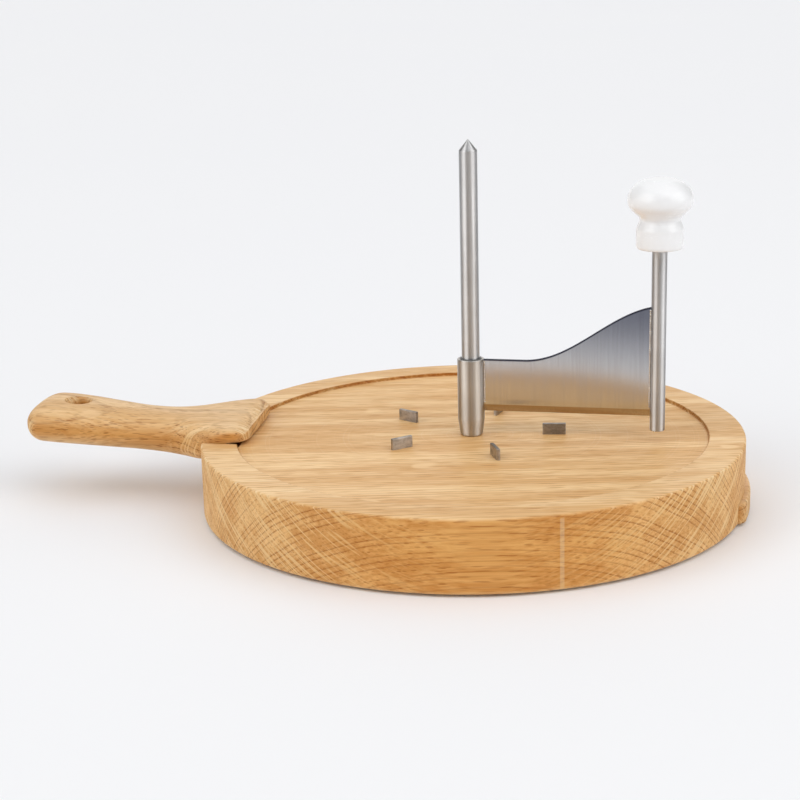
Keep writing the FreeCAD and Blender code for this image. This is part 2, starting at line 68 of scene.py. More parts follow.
BOARD_LOW, BOARD_HIGH = box_mm("board")
BOARD_RADIUS = BOARD_HIGH[0]
UNDERSIDE = BOARD_LOW[2]
RIM_TOP = BOARD_HIGH[2]
RECESS_RADIUS = 95.5
RECESS_DEPTH = 1.4
FLOOR = RIM_TOP - RECESS_DEPTH
NOTCH_END = -91.5
GRAIN_TURN = 9.2
GLUE_LINE_ALONG = 27.0
GRIP_LOW, GRIP_HIGH = box_mm("handle")
TONGUE_HALF = GRIP_HIGH[1]
JOINT_GAP = 0.2
GROOVE_TOP = UNDERSIDE + 8.5
NOSE_END = -88.8
SPINDLE_LOW, SPINDLE_HIGH = box_mm("spindle")
SPINDLE_RADIUS = SPINDLE_HIGH[0]
STUD_RADIUS = 3.0
STUD_HOLE_RADIUS = 3.05
HUB_LOW, HUB_HIGH = box_mm("hub_sleeve")
HUB_RADIUS = HUB_HIGH[0]
BUSH_LOW, BUSH_HIGH = box_mm("hub_bush")
BLADE_LOW = box_mm("blade")[0]
HEADING = math.radians(-3.0)
BLADE_HALF = 0.75
BEVEL_HEIGHT = 3.0
ROD_FROM_AXIS = 75.0
ROD_LOW, ROD_HIGH = box_mm("crank_rod")
ROD_RADIUS = 3.0
KNOB_LOW, KNOB_HIGH = box_mm("knob")
RING_ABOVE_KNOB_FOOT = 14.0
CURVE_START, CURVE_END, CURVE_RISE = 22.0, 78.0, 23.4
PIN_FROM_AXIS = 33.5
FIRST_PIN, PIN_STEP = 4.5, 72.0
TO_MILLIMETRES = (1000.0, 1000.0, 1000.0)

# ---------------------------------------------------------------- meshes


def make_piece(name, verts, faces, body, smooth_angle=35.0):
    """Closed mesh piece from vertices in millimetres: doubles merged, faces outwards, round parts smooth."""
    mesh = bpy.data.meshes.new(name)
    mesh.from_pydata((np.asarray(verts) * MM).tolist(), [], [list(face) for face in faces])
    shell = bmesh.new()
    shell.from_mesh(mesh)
    bmesh.ops.remove_doubles(shell, verts=shell.verts, dist=2e-6)
    bmesh.ops.recalc_face_normals(shell, faces=shell.faces)
    shell.to_mesh(mesh)
    shell.free()
    piece = bpy.data.objects.new(name, mesh)
    bpy.context.scene.collection.objects.link(piece)
    if body:
        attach(piece, body)
    shade(piece, smooth_angle)
    return piece


def shade(piece, smooth_angle=35.0):
    """Smooth shading, with edges sharper than the angle kept crisp."""
    piece.data.polygons.foreach_set("use_smooth", np.ones(len(piece.data.polygons), dtype=bool))
    piece.data.set_sharp_from_angle(angle=math.radians(smooth_angle))


def grid_faces(rows, columns, close_rows=False):
    """Quads of a grid whose vertex (i, j) is number i * columns + j; columns always close, rows may."""
    row_steps = rows if close_rows else rows - 1
    i, j = np.meshgrid(np.arange(row_steps), np.arange(columns), indexing="ij")
    down, across = (i + 1) % rows, (j + 1) % columns
    quads = [i * columns + j, i * columns + across, down * columns + across, down * columns + j]
    return np.stack(quads, -1).reshape(-1, 4)


def rounded_path(corners, steps=6):
    """Path through (a, b, round) corners. A corner with a radius becomes the quadratic curve from one radius
    before it to one radius after it, with the corner as its control point."""
    points = []
    for index, (a, b, rounding) in enumerate(corners):
        corner = np.array([a, b], float)
        if not rounding:
            points.append(corner)
            continue
        before = np.array(corners[index - 1][:2], float) - corner
        after = np.array(corners[(index + 1) % len(corners)][:2], float) - corner
        start = corner + before / np.linalg.norm(before) * rounding
        end = corner + after / np.linalg.norm(after) * rounding
        t = np.linspace(0, 1, steps + 1)[:, None]
        points.extend((1 - t) ** 2 * start + 2 * t * (1 - t) * corner + t ** 2 * end)
    return np.array(points)


def turned(profile, columns=72, centre=(0.0, 0.0), closed=False):
    """Surface of revolution: each (radius, height) of the profile goes round the upright axis at centre."""
    angle = np.linspace(0, 2 * math.pi, columns, endpoint=False)
    radius, height = profile[:, 0:1], profile[:, 1:2]
    x = centre[0] + radius * np.cos(angle)
    y = centre[1] + radius * np.sin(angle)
    z = height + 0 * angle
    return np.stack([x, y, z], -1).reshape(-1, 3), grid_faces(len(profile), columns, close_rows=closed)


def slab(outline, low, high, edge_low, edge_high, steps=4):
    """Plate with rounded edges: the outline is lifted through levels, and near each face it moves inwards
    along its own normal by edge * (1 - sin t) while the level moves by edge * (1 - cos t)."""
    following, previous = np.roll(outline, -1, 0), np.roll(outline, 1, 0)
    tangent = following - previous
    normal = np.stack([tangent[:, 1], -tangent[:, 0]], -1) / np.linalg.norm(tangent, axis=1)[:, None]
    t = np.linspace(0, math.pi / 2, steps + 1)
    inset = np.concatenate([edge_low * (1 - np.sin(t)), edge_high * (1 - np.sin(t[::-1]))])
    level = np.concatenate([low + edge_low * (1 - np.cos(t)), high - edge_high * (1 - np.cos(t[::-1]))])
    rings = outline[None] - inset[:, None, None] * normal[None]
    heights = np.broadcast_to(level[:, None, None], rings.shape[:2] + (1,))
    verts = np.concatenate([rings, heights], -1).reshape(-1, 3)
    count = len(outline)
    faces = grid_faces(len(level), count).tolist()
    faces.append(list(range(count))[::-1])
    faces.append(list(range((len(level) - 1) * count, len(level) * count)))
    return verts, faces


def arc(radius, start, end, steps, centre=(0.0, 0.0)):
    """Points on a circle between two angles in degrees."""
    t = np.radians(np.linspace(start, end, steps))
    return np.stack([centre[0] + radius * np.cos(t), centre[1] + radius * np.sin(t)], -1)


def turn_about_spindle(verts, heading, along=0.0):
    """Move vertices out along +X, then turn them about the spindle by a heading in radians."""
    verts = np.array(verts, float)
    x, y = verts[:, 0] + along, verts[:, 1].copy()
    verts[:, 0] = x * math.cos(heading) - y * math.sin(heading)
    verts[:, 1] = x * math.sin(heading) + y * math.cos(heading)
    return verts


def merge(*parts):
    """Several (vertices, faces) pairs as one."""
    verts, faces, base = [], [], 0
    for part_verts, part_faces in parts:
        verts.append(np.asarray(part_verts))
        faces.extend([[index + base for index in face] for face in part_faces])
        base += len(part_verts)
    return np.concatenate(verts), faces


def clear_slivers(mesh):
    """Weld corners closer than 0.02 mm, drop what has no width after that, and make triangles."""
    shell = bmesh.new()
    shell.from_mesh(mesh)
    bmesh.ops.triangulate(shell, faces=shell.faces)
    bmesh.ops.remove_doubles(shell, verts=shell.verts, dist=2e-5)
    bmesh.ops.dissolve_degenerate(shell, edges=shell.edges, dist=2e-6)
    bmesh.ops.triangulate(shell, faces=shell.faces)
    bmesh.ops.delete(shell, geom=[edge for edge in shell.edges if not edge.link_faces], context="EDGES")
    bmesh.ops.delete(shell, geom=[vert for vert in shell.verts if not vert.link_edges], context="VERTS")
    shell.to_mesh(mesh)
    shell.free()


def carve(piece, operation, *tools):
    """Join a piece with tool meshes, or cut them away, and keep the result as its mesh."""
    for tool in tools:
        modifier = piece.modifiers.new("carve", "BOOLEAN")
        modifier.operation = operation
        modifier.solver = "EXACT"
        modifier.object = tool
    bpy.context.view_layer.update()
    evaluated = piece.evaluated_get(bpy.context.evaluated_depsgraph_get())
    mesh = bpy.data.meshes.new_from_object(evaluated)
    clear_slivers(mesh)
    piece.modifiers.clear()
    piece.data = mesh
    mesh.name = piece.name
    for tool in tools:
        bpy.data.objects.remove(tool)
    shade(piece)


def tool(name, shape):
    """Loose mesh that only cuts or joins."""
    return make_piece(name, *shape, body=None)


# ---------------------------------------------------------------- wooden pieces


def make_board():
    """Oak board: a turned disc with rounded edges and a shallow recess, then the grip's notch and groove."""
    edge = 1.1
    profile = rounded_path([
        (0, UNDERSIDE, 0), (BOARD_RADIUS, UNDERSIDE, 1.5), (BOARD_RADIUS, RIM_TOP, edge),
        (RECESS_RADIUS, RIM_TOP, 0.45), (RECESS_RADIUS - 0.15, FLOOR, 0.5), (0, FLOOR, 0)])
    board = make_piece("oak_board", *turned(profile, columns=300), body="base")
    half, far = TONGUE_HALF + JOINT_GAP, BOARD_RADIUS + 5
    notch = np.array([(-far, -half), (NOTCH_END, -half), (NOTCH_END, half), (-far, half)])
    groove = np.array([(-far, -half), (far, -half), (far, half), (-far, half)])
    stud_hole = rounded_path([(0, GROOVE_TOP - 4, 0), (STUD_HOLE_RADIUS, GROOVE_TOP - 4, 0),
                              (STUD_HOLE_RADIUS, FLOOR + 3, 0), (0, FLOOR + 3, 0)])
    carve(board, "DIFFERENCE", tool("notch_tool", slab(notch, UNDERSIDE - 4, RIM_TOP + 4, 0, 0, 1)),
          tool("groove_tool", slab(groove, UNDERSIDE - 4, GROOVE_TOP, 0, 0, 1)),
          tool("stud_tool", turned(stud_hole, 48)))
    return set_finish(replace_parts(board, "board"), "board_oak")


def smooth_curve(stations, values, x):
    """Smooth curve through values at stations: cubic Hermite spans with central differences as slopes."""
    stations, values = np.array(stations, float), np.array(values, float)
    slopes = np.gradient(values, stations)
    k = np.clip(np.searchsorted(stations, x) - 1, 0, len(stations) - 2)
    span = stations[k + 1] - stations[k]
    t = (x - stations[k]) / span
    return ((2 * t ** 3 - 3 * t ** 2 + 1) * values[k] + (t ** 3 - 2 * t ** 2 + t) * span * slopes[k]
            + (3 * t ** 2 - 2 * t ** 3) * values[k + 1] + (t ** 3 - t ** 2) * span * slopes[k + 1])


def grip_shell():
    """Grip and nose: upright superellipse sections |y/a|^n + |z/b|^n = 1 along X, drawn in at both ends by a
    quarter circle so that they close round."""
    stations = [-NOSE_END, 96.0, 104.0, 110.0, 117.0, 125.0, 136.0, 150.0, 162.0, 173.0, 180.5, -GRIP_LOW[0]]
    half = [25.6, 25.7, 24.6, 21.6, 17.4, 14.9, 14.4, 16.3, 18.8, 20.5, 20.6, 19.4]
    top = [34.3, 34.4, 34.5, 34.5, 34.5, 34.6, 35.2, 36.7, 38.0, 38.8, 38.9, 38.6]
    low = [27.6, 27.0, 19.4, 18.2, 17.9, 18.3, 19.2, 20.4, 21.6, 22.7, 23.5, 24.2]
    power = [6.0, 5.6, 4.6, 3.8, 3.2, 2.8, 2.6, 2.6, 2.6, 2.6, 2.6, 2.6]
    nose_round, tip_round = 7.0, 9.0
    length = stations[-1] - stations[0]
    share = 0.5 - 0.5 * np.cos(np.linspace(0, math.pi, 181))
    along = stations[0] + length * share
    a = smooth_curve(stations, half, along)
    high, bottom = smooth_curve(stations, top, along), smooth_curve(stations, low, along)
    middle, b = (high + bottom) / 2, (high - bottom) / 2
    n = smooth_curve(stations, power, along)
    from_nose, from_tip = along - stations[0], stations[-1] - along

    def drawn_in(distance, rounding):
        """How far a quarter-round end lies inside the full section at a distance from the end."""
        inside = np.clip(1 - distance / rounding, 0, 1)
        return rounding * (1 - np.sqrt(np.clip(1 - inside ** 2, 0, 1)))

    nose_in, tip_in = drawn_in(from_nose, nose_round), drawn_in(from_tip, tip_round)
    a = a - 0.8 * nose_in - 1.7 * tip_in
    b_top = b - 0.55 * np.minimum(nose_in, b) - 0.8 * tip_in
    b_low = b - 0.2 * np.minimum(nose_in, b) - 0.8 * tip_in
    v = np.linspace(0, 2 * math.pi, 96, endpoint=False)
    bend = (2 / n)[:, None]
    y = a[:, None] * np.sign(np.cos(v)) * np.abs(np.cos(v)) ** bend
    rise = np.sign(np.sin(v)) * np.abs(np.sin(v)) ** bend
    z = middle[:, None] + np.where(rise > 0, b_top[:, None], b_low[:, None]) * rise + UNDERSIDE
    x = np.broadcast_to(-along[:, None], y.shape)
    rings = np.stack([x, y, z], -1)
    verts = rings.reshape(-1, 3)
    faces = grid_faces(len(along), len(v)).tolist()
    faces.append(list(range(len(v))))
    faces.append(list(range(len(verts) - len(v), len(verts)))[::-1])
    return verts, faces


def tongue_outline(reach_left, reach_right, lobe_round):
    """Plan of the tongue: straight sides, left end on the board's circle, right end a flatter round lobe."""
    half = TONGUE_HALF
    left_angle = math.degrees(math.asin(half / reach_left))
    left = arc(reach_left, 180 - left_angle, 180 + left_angle, 25)
    right_x = math.sqrt(reach_right ** 2 - half ** 2)
    corner_low = arc(lobe_round, -90, -8, 12, (right_x - lobe_round + 1.2, -half + lobe_round))
    corner_high = arc(lobe_round, 8, 90, 12, (right_x - lobe_round + 1.2, half - lobe_round))
    angle = math.degrees(math.asin((half - lobe_round) / reach_right))
    middle = arc(reach_right, -angle * 0.9, angle * 0.9, 21)
    return np.concatenate([left, corner_low, middle, corner_high])


def make_handle():
    """One oak piece: rounded grip and nose, joined to the tongue that crosses under the board."""
    handle = make_piece("oak_grip", *grip_shell(), body="base")
    tongue_plan = tongue_outline(BOARD_RADIUS, GRIP_HIGH[0], 5.0)
    tongue = slab(tongue_plan, UNDERSIDE, GROOVE_TOP - JOINT_GAP, 1.2, 1.2)
    riser_end = NOTCH_END - JOINT_GAP
    angle = math.degrees(math.asin(TONGUE_HALF / BOARD_RADIUS))
    riser_plan = np.concatenate([arc(BOARD_RADIUS - 0.2, 180 - angle, 180 + angle, 25),
                                 [(riser_end, -TONGUE_HALF + 0.05), (riser_end, TONGUE_HALF - 0.05)]])
    riser_top = UNDERSIDE + 21.0
    riser = slab(riser_plan, GROOVE_TOP - 3, riser_top, 0.3, 2.0)
    carve(handle, "UNION", tool("tongue_tool", tongue), tool("riser_tool", riser))
    hole_x = -166.0
    hole_top, hole_low, hole_radius = 39.5, 22.4, 5.0
    hole = rounded_path([
        (0, hole_low - 6, 0), (hole_radius + 3, hole_low - 6, 0), (hole_radius + 0.9, hole_low, 0),
        (hole_radius, hole_low + 1.6, 1.2), (hole_radius, hole_top - 1.6, 1.2),
        (hole_radius + 0.9, hole_top, 0), (hole_radius + 3, hole_top + 6, 0), (0, hole_top + 6, 0)])
    seat_radius, seat_top = 8.0, UNDERSIDE + 5.6
    seat = rounded_path([
        (0, UNDERSIDE - 3, 0), (seat_radius + 0.6, UNDERSIDE - 3, 0), (seat_radius, UNDERSIDE + 0.5, 0.4),
        (seat_radius, seat_top, 0), (STUD_HOLE_RADIUS, seat_top, 0), (STUD_HOLE_RADIUS, GROOVE_TOP + 4, 0),
        (0, GROOVE_TOP + 4, 0)])
    screw_hole, screw_along, screw_across = 2.02, 62.0, 14.0
    sink = rounded_path([
        (0, UNDERSIDE - 3, 0), (4.6, UNDERSIDE - 3, 0), (4.1, UNDERSIDE, 0),
        (screw_hole, UNDERSIDE + 2.05, 0), (screw_hole, GROOVE_TOP + 4, 0), (0, GROOVE_TOP + 4, 0)])
    sinks = [tool(f"sink_tool_{number}", turned(sink, 32, (side * screw_along, way * screw_across)))
             for number, (side, way) in enumerate(((1, 1), (-1, 1), (-1, -1), (1, -1)))]
    carve(handle, "DIFFERENCE", tool("hole_tool", turned(hole, 64, (hole_x, 0.0))),
          tool("seat_tool", turned(seat, 64)), *sinks)
    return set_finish(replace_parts(handle, "handle"), "handle_oak")


# ---------------------------------------------------------------- steel pieces


def make_spindle():
    """Pointed shaft on a thinner stud, with a shallow groove inside the hub; the tip is blunted a little."""
    radius, tip, half_point = SPINDLE_RADIUS, SPINDLE_HIGH[2], math.radians(40.0)
    cone = radius / math.tan(half_point)
    groove, groove_low, groove_high = radius - 0.2, BUSH_HIGH[2] - 0.8, BUSH_HIGH[2] + 0.3
    profile = rounded_path([
        (0, SPINDLE_LOW[2], 0), (STUD_RADIUS, SPINDLE_LOW[2], 0.4), (STUD_RADIUS, FLOOR, 0),
        (radius, FLOOR, 0.12), (radius, groove_low, 0), (groove, groove_low, 0), (groove, groove_high, 0),
        (radius, groove_high, 0), (radius, tip - cone, 0.35), (0.25, tip - 0.28, 0.15), (0, tip - 0.02, 0)])
    spindle = make_piece("steel_spindle", *turned(profile, 96), body="base", smooth_angle=25)
    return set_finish(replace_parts(spindle, "spindle"), "spindle_steel")


def make_hub():
    """Sleeve on the spindle: tapered nose, rounded mouth, stepped bore for the bush."""
    low, high = HUB_LOW[2], HUB_HIGH[2]
    bore, seat, seat_low = SPINDLE_RADIUS + 0.1, 4.4, low + 8.0
    profile = rounded_path([
        (bore, low, 0.2), (3.95, low, 0), (4.6, low + 0.45, 0.35), (HUB_RADIUS, low + 7.0, 0.25),
        (HUB_RADIUS, high, 0.35), (seat, high, 0.25), (seat, seat_low, 0), (bore, seat_low, 0)])
    hub = make_piece("steel_hub", *turned(profile, 96, closed=True), body="crank")
    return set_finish(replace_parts(hub, "hub_sleeve"), "hub_steel")


def make_bush():
    """Dark liner in the hub's mouth."""
    inner, outer = 3.7, 4.35
    profile = rounded_path([(inner, BUSH_LOW[2], 0), (outer, BUSH_LOW[2], 0.15), (outer, BUSH_HIGH[2], 0.2),
                            (inner, BUSH_HIGH[2], 0.15)])
    bush = make_piece("hub_liner", *turned(profile, 72, closed=True), body="bush")
    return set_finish(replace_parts(bush, "hub_bush"), "bush_polymer")


def blade_top(along):
    """Top edge: level by the hub, then half a cosine wave that climbs to the rod."""
    share = np.clip((along - CURVE_START) / (CURVE_END - CURVE_START), 0, 1)
    return HUB_HIGH[2] + CURVE_RISE * (1 - np.cos(math.pi * share)) / 2


def make_blade():
    """Blade: one closed cross-section, ground to a wedge below and rounded above, swept from hub to rod."""
    along = np.linspace(HUB_RADIUS - 0.04, ROD_FROM_AXIS - ROD_RADIUS + 0.03, 150)
    low, top = BLADE_LOW[2], blade_top(along)
    edge, half = 0.3, BLADE_HALF
    section_y = np.array([half - 0.05, half - edge, half - edge - 0.08, -half + 0.05, -half, -half,
                          -half + 0.08, -half + 0.3, half - 0.3, half - 0.08, half, half, half])
    from_low = np.array([0, 0, 0.06, BEVEL_HEIGHT - 0.12, BEVEL_HEIGHT + 0.12, 6.0, 0, 0, 0, 0, 0, 6.0, 0.1])
    from_top = np.array([0, 0, 0, 0, 0, 0, -0.3, 0, 0, -0.08, -0.3, 0, 0])
    uses_top = np.array([0, 0, 0, 0, 0, 0, 1, 1, 1, 1, 1, 0, 0])
    z = np.where(uses_top, top[:, None] + from_top, low + from_low)
    x = np.broadcast_to(along[:, None], z.shape)
    y = np.broadcast_to(section_y, z.shape)
    verts = np.stack([x, y, z], -1).reshape(-1, 3)
    count = len(section_y)
    faces = grid_faces(len(along), count).tolist()
    faces.append(list(range(count)))
    faces.append(list(range(len(verts) - count, len(verts)))[::-1])
    blade = make_piece("steel_blade", turn_about_spindle(verts, HEADING), faces, body="crank",
                       smooth_angle=20)
    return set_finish(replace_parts(blade, "blade"), "blade_steel")


def bead(x, y, low, high, radius, pitch):
    """Weld bead: an upright tube whose radius swells and pinches as |sin|, tapered shut at both ends."""
    count = int((high - low) / pitch) * 8
    height = np.linspace(low, high, count)
    ripple = 0.72 + 0.28 * np.abs(np.sin((height - low) * math.pi / pitch))
    ends = np.clip(np.minimum(height - low, high - height) / (0.8 * radius), 0, 1)
    size = radius * ripple * np.sqrt(1 - (1 - ends) ** 2)
    profile = np.stack([np.maximum(size, 0), height], -1)
    return turned(profile, 12, (x, y))


def make_welds():
    """Rows of weld scales in the corners by the hub and the rod, and two larger spots a side on the hub."""
    low, faces = BLADE_LOW[2], (1, -1)
    row_low, aside, pitch = low + 3.6, BLADE_HALF + 0.12, 0.85
    hub_beads = [bead(HUB_RADIUS + 0.1, face * aside, row_low, HUB_HIGH[2] - 0.5, 0.42, pitch)
                 for face in faces]
    spots = [bead(HUB_RADIUS + 0.25, face * (BLADE_HALF + 0.2), low + 5.2 + step, low + 6.9 + step, 0.75, 1.7)
             for face in faces for step in (0.0, 2.2)]
    hub_verts, hub_faces = merge(*hub_beads, *spots)
    hub_verts = turn_about_spindle(hub_verts, HEADING)
    hub_weld = make_piece("hub_weld_bead", hub_verts, hub_faces, body="crank", smooth_angle=60)
    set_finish(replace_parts(hub_weld, "hub_weld"), "weld_steel")
    seam_x = ROD_FROM_AXIS - ROD_RADIUS
    row_high = blade_top(np.array(seam_x)) - 0.8
    rod_beads = [bead(seam_x - 0.15, face * aside, row_low, row_high, 0.4, pitch) for face in faces]
    rod_verts, rod_faces = merge(*rod_beads)
    rod_verts = turn_about_spindle(rod_verts, HEADING)
    rod_weld = make_piece("rod_weld_bead", rod_verts, rod_faces, body="crank", smooth_angle=60)
    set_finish(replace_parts(rod_weld, "rod_weld"), "weld_steel")
    return hub_weld, rod_weld


def crank_centre():
    """Where the rod's axis stands."""
    return ROD_FROM_AXIS * math.cos(HEADING), ROD_FROM_AXIS * math.sin(HEADING)


def make_rod():
    """Crank rod with a broken lower edge, a shoulder under the knob and a grooved journal inside it."""
    low, shoulder, end = ROD_LOW[2], KNOB_LOW[2] - 0.1, ROD_HIGH[2]
    journal, root, groove = 2.35, 1.8, KNOB_LOW[2] + RING_ABOVE_KNOB_FOOT
    profile = rounded_path([
        (0, low, 0), (ROD_RADIUS, low, 0.45), (ROD_RADIUS, shoulder, 0.15), (journal, shoulder, 0),
        (journal, groove, 0), (root, groove, 0), (root, groove + 1.0, 0), (journal, groove + 1.0, 0),
        (journal, end, 0.35), (0, end, 0)])
    rod = make_piece("steel_crank_rod", *turned(profile, 96, crank_centre()), body="crank")
    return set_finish(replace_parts(rod, "crank_rod"), "rod_steel")


def make_knob():
    """Knob: a spun outline of flange, waist and mushroom head, with a bore and a ring chamber inside."""
    low, height = KNOB_LOW[2], KNOB_HIGH[2] - KNOB_LOW[2]
    up = np.array([0, 0.25, 0.9, 2, 6, 8, 9.4, 10.4, 11.2, 12.3,
                   13.7, 15.2, 16.8, 18.6, 20.6, 22.8, 24.8, 26.2, 27.1, 27.4])
    wide = np.array([8.2, 8.8, 9.1, 9.2, 9.2, 9.1, 8.6, 8.1, 7.9, 8.3,
                     9.6, 11.2, 12.3, 12.65, 12.5, 11.6, 9.9, 7.6, 4.6, 0])
    travel = np.concatenate([[0], np.cumsum(np.hypot(np.diff(up), np.diff(wide)))])
    fine = np.linspace(0, travel[-1], 120)
    radius, level = smooth_curve(travel, wide, fine), smooth_curve(travel, up, fine)
    outer = np.stack([np.maximum(radius, 0), low + level * height / up[-1]], -1)
    bore, bore_top, chamber = 2.4, low + 21.0, 3.2
    ring_low, ring_high = low + RING_ABOVE_KNOB_FOOT - 0.1, low + RING_ABOVE_KNOB_FOOT + 1.1
    inner = np.array([(0, bore_top), (bore, bore_top), (bore, ring_high), (chamber, ring_high),
                      (chamber, ring_low), (bore, ring_low), (bore, low + 0.3), (2.7, low)])
    profile = np.concatenate([inner, outer])
    knob = make_piece("white_knob", *turned(profile, 120, crank_centre()), body="knob", smooth_angle=40)
    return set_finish(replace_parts(knob, "knob"), "knob_plastic")


def make_cheese_pin(number):
    """Small stamped plate, edge on to the spindle, with softened edges."""
    heading = math.radians(FIRST_PIN + PIN_STEP * (number - 1))
    corner = 0.3
    along, across = 4.7 - corner, 0.75 - corner
    centres = ((along, -across), (along, across), (-along, across), (-along, -across))
    plan = np.concatenate([arc(corner, quarter * 90 - 90, quarter * 90, 5, centre)
                           for quarter, centre in enumerate(centres)])
    verts, faces = slab(plan, FLOOR - 8.0, FLOOR + 4.6, 0.0, 0.28)
    verts = turn_about_spindle(verts, heading, PIN_FROM_AXIS)
    pin = make_piece(f"steel_cheese_pin_{number}", verts, faces, body="base", smooth_angle=30)
    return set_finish(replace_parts(pin, f"cheese_pin_{number}"), "pin_steel")


def make_foot(number):
    """Low tapered anti-slip pad with a rounded lower edge."""
    low, high = box_mm(f"foot_{number}")
    centre = (low + high) / 2
    profile = rounded_path([(0, low[2], 0), (5.5, low[2], 0.5), (6.0, high[2], 0), (0, high[2], 0)])
    foot = make_piece(f"rubber_foot_{number}", *turned(profile, 64, centre[:2]), body="base")
    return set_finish(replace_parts(foot, f"foot_{number}"), "foot_rubber")


# ---------------------------------------------------------------- building materials


def node(tree, kind, inputs=None, **settings):
    """New node; each input is a number, a colour or the socket that feeds it."""
    made = tree.nodes.new(kind)
    for setting, value in settings.items():
        setattr(made, setting, value)
    for name, value in (inputs or {}).items():
        if isinstance(value, bpy.types.NodeSocket):
            tree.links.new(value, made.inputs[name])
        else:
            made.inputs[name].default_value = value
    return made


def calc(tree, operation, first, second=0.0):
    """One sum on values."""
    return node(tree, "ShaderNodeMath", {0: first, 1: second}, operation=operation).outputs[0]


def stretched(tree, vector, scale, turn=0.0):
    """The vector turned about Z by an angle in degrees, then stretched along each axis."""
    rotation = (0, 0, math.radians(turn))
    rotated = node(tree, "ShaderNodeMapping", {"Vector": vector, "Rotation": rotation})
    return node(tree, "ShaderNodeMapping", {"Vector": rotated.outputs[0], "Scale": scale}).outputs[0]


def scaled_place(tree, *pairs):
    """Vector whose parts are values times scales, from (value, scale) pairs."""
    parts = {index: calc(tree, "MULTIPLY", value, scale) for index, (value, scale) in enumerate(pairs)}
    return node(tree, "ShaderNodeCombineXYZ", parts).outputs[0]


def noise(tree, vector, detail=2.0, roughness=0.5):
    """Soft noise from 0 to 1 with one feature for each unit of the vector."""
    settings = {"Vector": vector, "Scale": 1.0, "Detail": detail, "Roughness": roughness}
    return node(tree, "ShaderNodeTexNoise", settings).outputs["Fac"]


def between(tree, value, low, high, start=0.0, end=1.0):
    """Smooth step of a value: start below low, end above high."""
    limits = {"Value": value, "From Min": low, "From Max": high, "To Min": start, "To Max": end}
    return node(tree, "ShaderNodeMapRange", limits, interpolation_type="SMOOTHSTEP").outputs[0]


def blend(tree, factor, first, second, blend_type="MIX"):
    """Mix of two colours."""
    inputs = {0: factor, 6: first, 7: second}
    return node(tree, "ShaderNodeMix", inputs, data_type="RGBA", blend_type=blend_type).outputs[2]


def group_tree(name, inputs, outputs):
    """Empty node group: inputs are (name, socket type, default), outputs are (name, socket type)."""
    tree = bpy.data.node_groups.new(name, "ShaderNodeTree")
    for label, kind, default in inputs:
        socket = tree.interface.new_socket(name=label, in_out="INPUT", socket_type=kind)
        if default is not None:
            socket.default_value = default
    for label, kind in outputs:
        tree.interface.new_socket(name=label, in_out="OUTPUT", socket_type=kind)
    return tree, tree.nodes.new("NodeGroupInput").outputs, tree.nodes.new("NodeGroupOutput").inputs


